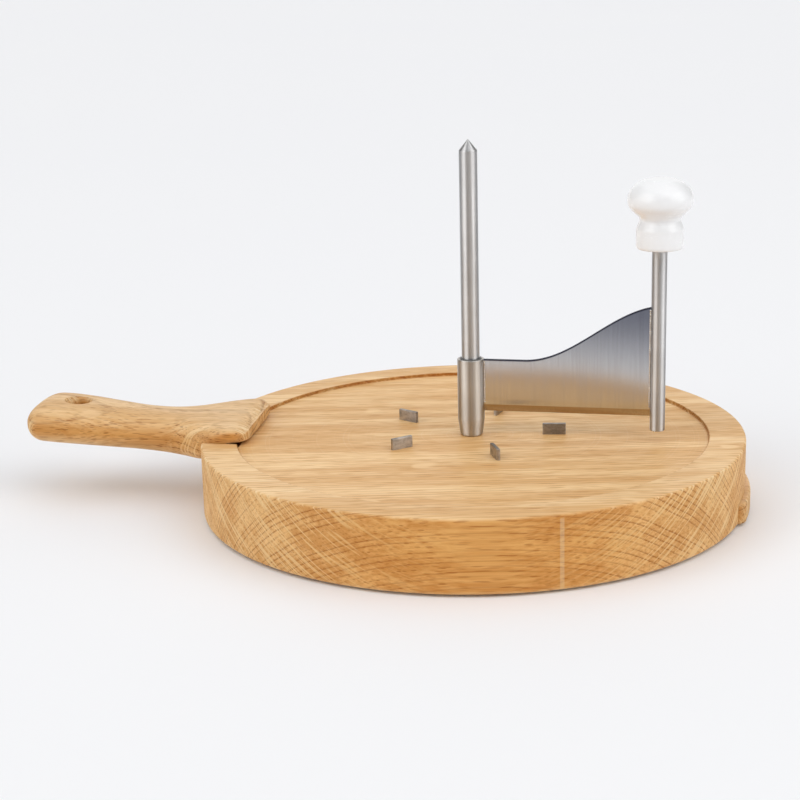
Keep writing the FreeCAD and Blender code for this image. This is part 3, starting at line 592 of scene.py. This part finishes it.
def oak_grain_group():
    """Oak with the grain along X, in millimetres. Rings lie at even distances from the pith's line, rays run
    out from it as thin sheets and pores are long thin tubes, so every face is its own cut of one block."""
    tree, given, result = group_tree("oak_grain", [
        ("Vector", "NodeSocketVector", None), ("Pore Vector", "NodeSocketVector", None),
        ("Pore Share", "NodeSocketFloat", 0.6), ("End Grain", "NodeSocketFloat", 0.0),
        ("Pith Across", "NodeSocketFloat", 0.0), ("Pith Height", "NodeSocketFloat", -100.0),
        ("Ring Spacing", "NodeSocketFloat", 2.4), ("Pale", "NodeSocketColor", (0.8, 0.6, 0.4, 1)),
        ("Warm", "NodeSocketColor", (0.6, 0.4, 0.2, 1)), ("Ray", "NodeSocketColor", (0.9, 0.75, 0.5, 1)),
        ("Ring Line", "NodeSocketColor", (0.4, 0.2, 0.1, 1))],
        [("Color", "NodeSocketColor"), ("Roughness", "NodeSocketFloat"), ("Height", "NodeSocketFloat")])
    vector, end_grain = given["Vector"], given["End Grain"]
    wander = calc(tree, "SUBTRACT", noise(tree, stretched(tree, vector, (0.004, 0.022, 0.022)), 2.0), 0.5)
    apart = node(tree, "ShaderNodeSeparateXYZ", {0: vector}).outputs
    across = calc(tree, "SUBTRACT", apart[1], given["Pith Across"])
    up = calc(tree, "SUBTRACT", apart[2], given["Pith Height"])
    squares = calc(tree, "ADD", calc(tree, "MULTIPLY", across, across), calc(tree, "MULTIPLY", up, up))
    radius = calc(tree, "ADD", calc(tree, "SQRT", squares), calc(tree, "MULTIPLY", wander, 7.0))
    sweep = calc(tree, "MULTIPLY", calc(tree, "ARCTAN2", up, across), 150.0)
    ring = calc(tree, "FRACT", calc(tree, "DIVIDE", radius, given["Ring Spacing"]))
    # each ring starts with a sharp dark porous line that fades outwards
    line = calc(tree, "MULTIPLY", between(tree, ring, 0.0, 0.08), between(tree, ring, 0.1, 0.42, 1.0, 0.0))
    ring_place = scaled_place(tree, (apart[0], 0.012), (radius, 0.3), (sweep, 0.02))
    line = calc(tree, "MULTIPLY", line, between(tree, noise(tree, ring_place, 2.0), 0.4, 0.6, 0.1, 1.0))
    tubes = node(tree, "ShaderNodeTexVoronoi", {"Vector": given["Pore Vector"], "Scale": 1.0})
    pores = calc(tree, "MULTIPLY", between(tree, tubes.outputs["Distance"], 0.2, 0.4, 1.0, 0.0),
                 between(tree, ring, 0.0, 0.6, 1.0, 0.5))
    ray_place = scaled_place(tree, (apart[0], 0.07), (sweep, 1.3), (radius, 0.022))
    rays = between(tree, noise(tree, ray_place, 1.0), 0.52, 0.64)
    fleck_place = scaled_place(tree, (apart[0], 0.05), (sweep, 0.11), (radius, 0.09))
    flecks = between(tree, noise(tree, fleck_place, 1.0), 0.68, 0.76)
    fibre = noise(tree, stretched(tree, vector, (0.02, 0.85, 0.85)), 4.0, 0.65)
    tone = noise(tree, stretched(tree, vector, (0.007, 0.075, 0.075)), 3.0, 0.6)
    warmth = calc(tree, "ADD", between(tree, tone, 0.38, 0.62, 0.0, 0.72),
                  between(tree, fibre, 0.36, 0.66, 0.0, 0.68))
    color = blend(tree, warmth, given["Pale"], given["Warm"])
    face_line = calc(tree, "MULTIPLY", line, between(tree, end_grain, 0.05, 0.7, 0.36, 0.8))
    color = blend(tree, face_line, color, given["Ring Line"])
    pore_share = calc(tree, "MULTIPLY", pores, given["Pore Share"])
    color = blend(tree, pore_share, color, given["Ring Line"])
    ray_share = calc(tree, "MULTIPLY", rays, between(tree, end_grain, 0.1, 0.6, 0.12, 0.75))
    color = blend(tree, ray_share, color, given["Ray"])
    color = blend(tree, calc(tree, "MULTIPLY", flecks, 0.6), color, given["Pale"])
    tree.links.new(color, result["Color"])
    roughness = calc(tree, "ADD", 0.44, calc(tree, "MULTIPLY", pores, 0.2))
    tree.links.new(calc(tree, "ADD", roughness, calc(tree, "MULTIPLY", end_grain, 0.12)), result["Roughness"])
    height = calc(tree, "MULTIPLY", calc(tree, "ADD", pores, calc(tree, "MULTIPLY", line, 0.6)), -1.0)
    tree.links.new(calc(tree, "ADD", height, calc(tree, "MULTIPLY", fibre, 0.5)), result["Height"])
    return tree


def oak(name, group, turn, pore, pore_share, pith, spacing, pale, warm, ring_line, extra=None):
    """Oiled oak whose grain points along X turned by an angle; lengths in millimetres feed the grain group. A
    wall is painted deeper in colour than a flat face, most of all where it shows the length of the grain;
    partly the oiled grain's own colour, partly painted shade for the weaker light on upright faces."""
    material, tree, surface = plain(name, pale, 0.5)
    place = node(tree, "ShaderNodeTexCoord").outputs
    vector = stretched(tree, place["Object"], TO_MILLIMETRES, -turn)
    normal = stretched(tree, place["Normal"], (1.0, 1.0, 1.0), -turn)
    facing = node(tree, "ShaderNodeSeparateXYZ", {0: normal})
    end_grain = calc(tree, "ABSOLUTE", facing.outputs[0])
    grain = node(tree, "ShaderNodeGroup", node_tree=group)
    tree.links.new(vector, grain.inputs["Vector"])
    tree.links.new(stretched(tree, vector, pore), grain.inputs["Pore Vector"])
    tree.links.new(end_grain, grain.inputs["End Grain"])
    grain.inputs["Pore Share"].default_value = pore_share
    grain.inputs["Pith Across"].default_value, grain.inputs["Pith Height"].default_value = pith
    grain.inputs["Ring Spacing"].default_value = spacing
    grain.inputs["Pale"].default_value, grain.inputs["Warm"].default_value = pale, warm
    grain.inputs["Ring Line"].default_value = ring_line
    grain.inputs["Ray"].default_value = (0.92, 0.74, 0.47, 1)
    # painted shade: upright faces are multiplied darker than flat tops, partly for the deeper colour of oiled
    # grain
    upright = calc(tree, "SUBTRACT", 1.0, calc(tree, "ABSOLUTE", facing.outputs[2]))
    wall_tint_and_shade = blend(tree, between(tree, end_grain, 0.25, 0.85), (0.78, 0.57, 0.31, 1),
                      (0.84, 0.74, 0.58, 1))
    color = blend(tree, upright, grain.outputs["Color"], wall_tint_and_shade, "MULTIPLY")
    if extra:
        color = extra(tree, vector, color)
    tree.links.new(color, surface.inputs["Base Color"])
    tree.links.new(grain.outputs["Roughness"], surface.inputs["Roughness"])
    raised(tree, surface, grain.outputs["Height"], 0.00007, 0.6)
    surface.inputs["Specular IOR Level"].default_value = 0.22
    return material


def board_marks_and_wall_shade(tree, vector, color):
    """Marks on the board: a darker recess wall, partly burnish from the lathe and partly painted shade, a
    recess floor a little deeper in colour with faint rings of constant radius, and one pale glue line up the
    wall."""
    apart = node(tree, "ShaderNodeSeparateXYZ", {0: vector}).outputs
    flat = node(tree, "ShaderNodeCombineXYZ", {0: apart[0], 1: apart[1]}).outputs[0]
    radius = node(tree, "ShaderNodeVectorMath", {0: flat}, operation="LENGTH").outputs["Value"]
    upper = between(tree, apart[2], FLOOR - 0.6, FLOOR - 0.3)
    within = between(tree, radius, RECESS_RADIUS - 0.9, RECESS_RADIUS - 0.5, 1.0, 0.0)
    inside = calc(tree, "MULTIPLY", within, upper)
    color = blend(tree, calc(tree, "MULTIPLY", inside, 0.9), color, (0.985, 0.945, 0.87, 1), "MULTIPLY")
    ring_place = scaled_place(tree, (radius, 1.1))
    rings = calc(tree, "MULTIPLY", between(tree, noise(tree, ring_place, 2.0, 0.7), 0.52, 0.7), inside)
    color = blend(tree, calc(tree, "MULTIPLY", rings, 0.1), color, (1.0, 0.9, 0.72, 1))
    on_wall = calc(tree, "MULTIPLY", between(tree, radius, RECESS_RADIUS - 0.7, RECESS_RADIUS - 0.35),
                   between(tree, radius, RECESS_RADIUS + 0.1, RECESS_RADIUS + 0.4, 1.0, 0.0))
    dots = noise(tree, stretched(tree, vector, (0.7, 0.7, 0.7)), 2.0, 0.7)
    # painted shade: the recess wall is darkened, partly burnished end grain and partly the shade on this low
    # wall
    burnish_and_shade = calc(tree, "MULTIPLY", calc(tree, "MULTIPLY", on_wall, upper),
                   between(tree, dots, 0.3, 0.6, 0.55, 1.0))
    color = blend(tree, burnish_and_shade, color, (0.62, 0.46, 0.26, 1), "MULTIPLY")
    sideways = calc(tree, "ABSOLUTE", calc(tree, "SUBTRACT", apart[0], GLUE_LINE_ALONG))
    glue = calc(tree, "MULTIPLY", between(tree, sideways, 0.6, 0.95, 1.0, 0.0),
                between(tree, apart[1], -104.0, -103.0, 1.0, 0.0))
    glue = calc(tree, "MULTIPLY", glue, between(tree, apart[2], RIM_TOP - 2.0, RIM_TOP - 1.0, 0.3, 0.0))
    return blend(tree, glue, color, (0.72, 0.58, 0.36, 1))


def plain(name, color, roughness, metallic=0.0):
    """Material with a Principled surface; gives the material, its tree and the surface."""
    material = bpy.data.materials.new(name)
    material.use_nodes = True
    tree = material.node_tree
    surface = tree.nodes["Principled BSDF"]
    surface.inputs["Base Color"].default_value = color
    surface.inputs["Roughness"].default_value = roughness
    surface.inputs["Metallic"].default_value = metallic
    return material, tree, surface


def raised(tree, surface, height, distance, strength):
    """Bump from a height."""
    bump = node(tree, "ShaderNodeBump", {"Height": height, "Distance": distance, "Strength": strength})
    tree.links.new(bump.outputs[0], surface.inputs["Normal"])


def brushed_group():
    """Polishing strokes: fine noise that is already stretched along the stroke, and coarser rubbed patches;
    gives a colour, a roughness and a height."""
    tree, given, result = group_tree("brushed_steel", [
        ("Strokes", "NodeSocketVector", None), ("Place", "NodeSocketVector", None),
        ("Light", "NodeSocketColor", (0.7, 0.7, 0.7, 1)), ("Dark", "NodeSocketColor", (0.5, 0.5, 0.5, 1)),
        ("Smoothest", "NodeSocketFloat", 0.2), ("Roughest", "NodeSocketFloat", 0.35)],
        [("Color", "NodeSocketColor"), ("Roughness", "NodeSocketFloat"), ("Height", "NodeSocketFloat")])
    strokes = noise(tree, given["Strokes"], 3.0, 0.7)
    patches = noise(tree, given["Place"], 2.0)
    mixed = calc(tree, "ADD", calc(tree, "MULTIPLY", strokes, 0.7), calc(tree, "MULTIPLY", patches, 0.3))
    share = between(tree, mixed, 0.34, 0.66)
    tree.links.new(blend(tree, share, given["Dark"], given["Light"]), result["Color"])
    span = calc(tree, "SUBTRACT", given["Roughest"], given["Smoothest"])
    dull = calc(tree, "MULTIPLY", calc(tree, "SUBTRACT", 1.0, share), span)
    rough = calc(tree, "ADD", given["Smoothest"], dull)
    tree.links.new(rough, result["Roughness"])
    tree.links.new(strokes, result["Height"])
    return tree


def steel(name, group, strokes, light, dark, smoothest, roughest, drawn_out=0.0, turn=0.0, extra=None):
    """Steel polished in strokes, whose three numbers are how many there are to a metre along each axis. The
    tangent is level, and highlights are drawn out along it, or upright after a quarter turn."""
    material, tree, surface = plain(name, light, roughest, 1.0)
    place = node(tree, "ShaderNodeTexCoord").outputs["Object"]
    brushed = node(tree, "ShaderNodeGroup", node_tree=group)
    tree.links.new(stretched(tree, place, strokes), brushed.inputs["Strokes"])
    tree.links.new(stretched(tree, place, (70.0, 70.0, 70.0)), brushed.inputs["Place"])
    brushed.inputs["Light"].default_value, brushed.inputs["Dark"].default_value = light, dark
    brushed.inputs["Smoothest"].default_value = smoothest
    brushed.inputs["Roughest"].default_value = roughest
    color = extra(tree, place, brushed.outputs["Color"]) if extra else brushed.outputs["Color"]
    tree.links.new(color, surface.inputs["Base Color"])
    tree.links.new(brushed.outputs["Roughness"], surface.inputs["Roughness"])
    if drawn_out:
        facing = node(tree, "ShaderNodeNewGeometry").outputs["Normal"]
        level = node(tree, "ShaderNodeVectorMath", {0: facing, 1: (0.0, 0.0, 1.0)}, operation="CROSS_PRODUCT")
        tree.links.new(level.outputs[0], surface.inputs["Tangent"])
        surface.inputs["Anisotropic"].default_value = drawn_out
        surface.inputs["Anisotropic Rotation"].default_value = turn
    raised(tree, surface, brushed.outputs["Height"], 0.000004, 0.5)
    return material


def blade_painted_reflection_and_edge(tree, place, color):
    """Painted reflections: a blue-grey darkening towards the blade's high corner stands for the dark room it
    reflects, and a warm brown tone on the ground bevel for the oak board below it. A dark line runs along the
    cut top edge, which follows the same half cosine wave as the blade's outline."""
    along_blade = stretched(tree, place, TO_MILLIMETRES, -math.degrees(HEADING))
    apart = node(tree, "ShaderNodeSeparateXYZ", {0: along_blade}).outputs
    # painted reflection: the upper blade is multiplied towards blue-grey for the dark room the steel reflects
    high = between(tree, calc(tree, "ADD", apart[2], calc(tree, "MULTIPLY", apart[0], 0.12)), 52.0, 90.0)
    color = blend(tree, high, color, (0.24, 0.25, 0.3, 1), "MULTIPLY")
    share = calc(tree, "DIVIDE", calc(tree, "SUBTRACT", apart[0], CURVE_START), CURVE_END - CURVE_START)
    share = calc(tree, "MINIMUM", calc(tree, "MAXIMUM", share, 0.0), 1.0)
    wave = calc(tree, "COSINE", calc(tree, "MULTIPLY", share, math.pi))
    climb = calc(tree, "MULTIPLY", calc(tree, "SUBTRACT", 1.0, wave), CURVE_RISE / 2)
    top = calc(tree, "ADD", HUB_HIGH[2], climb)
    below = calc(tree, "SUBTRACT", top, apart[2])
    color = blend(tree, between(tree, below, 0.35, 0.9, 1.0, 0.0), color, (0.03, 0.03, 0.045, 1))
    # painted reflection: the ground bevel is multiplied towards warm brown for the oak board it reflects
    bevel_top = BLADE_LOW[2] + BEVEL_HEIGHT
    bevel = between(tree, apart[2], bevel_top - 0.2, bevel_top + 0.1, 1.0, 0.0)
    return blend(tree, bevel, color, (0.72, 0.58, 0.42, 1), "MULTIPLY")


def knob_plastic():
    """White glossy moulding with a hardly visible ripple and fine handling marks in the gloss."""
    material, tree, surface = plain("white_gloss_plastic", (0.86, 0.86, 0.865, 1), 0.22)
    place = node(tree, "ShaderNodeTexCoord").outputs["Object"]
    ripple = noise(tree, stretched(tree, place, (160.0, 160.0, 160.0)), 2.0)
    marks = noise(tree, stretched(tree, place, (500.0, 500.0, 2200.0)), 3.0, 0.7)
    tree.links.new(between(tree, marks, 0.35, 0.75, 0.17, 0.3), surface.inputs["Roughness"])
    cream = blend(tree, between(tree, ripple, 0.3, 0.7), (0.86, 0.86, 0.865, 1), (0.845, 0.845, 0.845, 1))
    tree.links.new(cream, surface.inputs["Base Color"])
    raised(tree, surface, ripple, 0.00002, 0.2)
    surface.inputs["Coat Weight"].default_value = 0.25
    surface.inputs["Coat Roughness"].default_value = 0.08
    return material


def speckled(name, color, speckle, roughness, pitch):
    """Dull moulded material with a fine speckle."""
    material, tree, surface = plain(name, color, roughness)
    place = node(tree, "ShaderNodeTexCoord").outputs["Object"]
    grains = noise(tree, stretched(tree, place, (pitch, pitch, pitch)), 3.0, 0.6)
    tree.links.new(blend(tree, between(tree, grains, 0.4, 0.7), color, speckle), surface.inputs["Base Color"])
    tree.links.new(between(tree, grains, 0.3, 0.7, roughness, roughness - 0.12), surface.inputs["Roughness"])
    raised(tree, surface, grains, 0.00003, 0.5)
    return material


def dress(pieces):
    """Give every piece, and every CAD node that still shows, its finish."""
    grain, brushed = oak_grain_group(), brushed_group()
    board_oak = oak("board_oak_finish", grain, GRAIN_TURN, (0.09, 1.15, 1.15), 0.6, (-175.0, -81.0), 1.8,
                    (0.92, 0.65, 0.35, 1), (0.71, 0.41, 0.16, 1), (0.4, 0.155, 0.03, 1), board_marks_and_wall_shade)
    grip_oak = oak("grip_oak_finish", grain, 0.0, (0.15, 1.3, 1.3), 0.85, (22.0, -120.0), 2.9,
                   (0.84, 0.58, 0.31, 1), (0.67, 0.4, 0.17, 1), (0.3, 0.115, 0.028, 1))
    lengthwise = (1400.0, 1400.0, 22.0)
    drawn = steel("drawn_steel", brushed, lengthwise, (0.66, 0.655, 0.65, 1), (0.56, 0.555, 0.55, 1),
                  0.38, 0.44, 1.0, 0.25)
    sleeve = steel("sleeve_steel", brushed, lengthwise, (0.64, 0.61, 0.57, 1), (0.52, 0.49, 0.45, 1),
                   0.36, 0.44, 1.0, 0.25)
    sheet = steel("brushed_sheet", brushed, (1500.0, 1500.0, 30.0), (0.64, 0.64, 0.65, 1),
                  (0.57, 0.57, 0.58, 1), 0.2, 0.26, 0.85, 0.0, blade_painted_reflection_and_edge)
    pressed = steel("pressed_steel", brushed, (260.0, 260.0, 500.0), (0.46, 0.41, 0.36, 1),
                    (0.26, 0.23, 0.2, 1), 0.3, 0.5)
    bright = steel("zinc_plate", brushed, (500.0, 500.0, 500.0), (0.72, 0.71, 0.68, 1),
                   (0.5, 0.5, 0.49, 1), 0.3, 0.5)
    weld = steel("weld_scale", brushed, (900.0, 900.0, 1300.0), (0.8, 0.78, 0.74, 1),
                 (0.42, 0.36, 0.32, 1), 0.2, 0.45)
    liner = speckled("bush_polymer", (0.12, 0.115, 0.11, 1), (0.18, 0.175, 0.17, 1), 0.5, 2500.0)
    rubber = speckled("foot_rubber", (0.05, 0.035, 0.03, 1), (0.09, 0.07, 0.06, 1), 0.8, 1800.0)
    finishes = {"board_oak": board_oak, "handle_oak": grip_oak, "spindle_steel": drawn, "rod_steel": drawn,
                "hub_steel": sleeve, "blade_steel": sheet, "pin_steel": pressed, "weld_steel": weld,
                "screw_steel": bright, "fastener_steel": bright, "knob_plastic": knob_plastic(),
                "bush_polymer": liner, "foot_rubber": rubber}
    for piece in pieces:
        wear(piece, finishes[piece["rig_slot"]])
    slots = {row["node"]: row["material_slot"] for row in frame["record"]["subparts"]}
    for name in ("handle_screws", "spindle_washer", "spindle_nut", "knob_retainer"):
        wear(frame["nodes"][name], finishes[slots[name]])


def wear(item, finish):
    """Put one finish in every material slot of an object."""
    if not item.data.materials:
        item.data.materials.append(finish)
    for index in range(len(item.data.materials)):
        item.data.materials[index] = finish


# ---------------------------------------------------------------- floor, light and camera

VIEW_HEADING, VIEW_PITCH, VIEW_ROLL = math.radians(9.2), math.radians(15.32), math.radians(-1.4)


def make_floor():
    """Wide pale floor of matt paper, with the faintest unevenness."""
    mesh = bpy.data.meshes.new("pale_floor")
    mesh.from_pydata([(-12, -12, 0), (12, -12, 0), (12, 12, 0), (-12, 12, 0)], [], [(0, 1, 2, 3)])
    floor = bpy.data.objects.new("pale_floor", mesh)
    bpy.context.scene.collection.objects.link(floor)
    material, tree, surface = plain("floor_paper", (0.9, 0.9, 0.91, 1), 0.9)
    place = node(tree, "ShaderNodeTexCoord").outputs["Object"]
    cloud = noise(tree, stretched(tree, place, (1.5, 1.5, 1.5)), 1.0)
    paper = blend(tree, cloud, (0.895, 0.895, 0.91, 1), (0.905, 0.905, 0.91, 1))
    tree.links.new(paper, surface.inputs["Base Color"])
    surface.inputs["Specular IOR Level"].default_value = 0.1
    wear(floor, material)


def softbox(name, place, aim, width, height, watts):
    """Rectangular studio light that looks at a point."""
    lamp = bpy.data.lights.new(name, "AREA")
    lamp.shape = "RECTANGLE"
    lamp.size, lamp.size_y, lamp.energy = width, height, watts
    holder = bpy.data.objects.new(name, lamp)
    bpy.context.scene.collection.objects.link(holder)
    holder.location = place
    holder.rotation_euler = (Vector(aim) - Vector(place)).to_track_quat("-Z", "Y").to_euler()


def make_world():
    """White surroundings with dim panels, which give round steel its dark middle and edges. Low down the
    light depends on the angle from the way that the front faces: dim ahead, brightest from about 50 to 75
    degrees, dim again from about 108 to 137 degrees and white behind. High up it is even."""
    world = bpy.data.worlds.new("studio_world")
    bpy.context.scene.world = world
    world.use_nodes = True
    tree = world.node_tree
    direction = node(tree, "ShaderNodeTexCoord").outputs["Generated"]
    front = (math.sin(VIEW_HEADING), -math.cos(VIEW_HEADING), 0.0)
    height = node(tree, "ShaderNodeSeparateXYZ", {0: direction}).outputs[2]
    flat = node(tree, "ShaderNodeVectorMath", {0: direction, 1: (1.0, 1.0, 0.0)}, operation="MULTIPLY")
    level = node(tree, "ShaderNodeVectorMath", {0: flat.outputs[0]}, operation="NORMALIZE")
    facing = node(tree, "ShaderNodeVectorMath", {0: level.outputs[0], 1: front}, operation="DOT_PRODUCT")
    just_inside = calc(tree, "MULTIPLY", facing.outputs["Value"], 0.99999)
    half_turns = calc(tree, "DIVIDE", calc(tree, "ARCCOSINE", just_inside), math.pi)
    panels = node(tree, "ShaderNodeValToRGB", {0: half_turns})
    stops = ((0.0, 0.03), (0.11, 0.03), (0.2, 0.45), (0.27, 1.0), (0.42, 1.0), (0.52, 0.4), (0.6, 0.05),
             (0.76, 0.05), (0.88, 0.4), (1.0, 0.42))
    for index, (position, value) in enumerate(stops):
        stop = panels.color_ramp.elements[index] if index < 2 else panels.color_ramp.elements.new(position)
        stop.position, stop.color = position, (value, value, value, 1)
    cap = between(tree, height, 0.62, 0.86)
    sky = blend(tree, cap, panels.outputs[0], (0.43, 0.435, 0.445, 1))
    tree.links.new(sky, tree.nodes["Background"].inputs["Color"])
    tree.nodes["Background"].inputs["Strength"].default_value = 2.36


def make_camera():
    """Long lens, a little above the board and looking down, with a slight roll."""
    distance, aside, above = 0.7415, -0.0299, 0.04
    ahead = np.array([-math.sin(VIEW_HEADING) * math.cos(VIEW_PITCH),
                      math.cos(VIEW_HEADING) * math.cos(VIEW_PITCH), -math.sin(VIEW_PITCH)])
    level_right = np.array([math.cos(VIEW_HEADING), math.sin(VIEW_HEADING), 0.0])
    level_up = np.cross(level_right, ahead)
    right = math.cos(VIEW_ROLL) * level_right + math.sin(VIEW_ROLL) * level_up
    up = -math.sin(VIEW_ROLL) * level_right + math.cos(VIEW_ROLL) * level_up
    place = -distance * ahead + aside * right + above * up + np.array([0, 0, UNDERSIDE * MM])
    data = bpy.data.cameras.new("camera")
    data.sensor_width, data.lens = 36.0, 81.0
    data.clip_start, data.clip_end = 0.05, 60.0
    camera = bpy.data.objects.new("camera", data)
    bpy.context.scene.collection.objects.link(camera)
    camera.matrix_world = Matrix([[*row, at] for row, at in zip(np.stack([right, up, -ahead], -1), place)]
                                 + [[0, 0, 0, 1]])
    bpy.context.scene.camera = camera


def make_stage():
    """Floor, soft surroundings, a gentle key light and the camera."""
    make_floor()
    make_world()
    softbox("key_softbox", place=(0.5, -0.9, 1.3), aim=(0, 0, 0.03), width=0.7, height=0.7, watts=1.7)
    make_camera()
    bpy.context.scene.view_settings.view_transform = "Standard"


def main():
    """Make every piece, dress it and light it."""
    pieces = [make_board(), make_handle(), make_spindle(), make_hub(), make_bush(), make_blade()]
    pieces += [*make_welds(), make_rod(), make_knob()]
    pieces += [make_cheese_pin(number) for number in range(1, 6)]
    pieces += [make_foot(number) for number in range(1, 5)]
    dress(pieces)
    make_stage()


main()
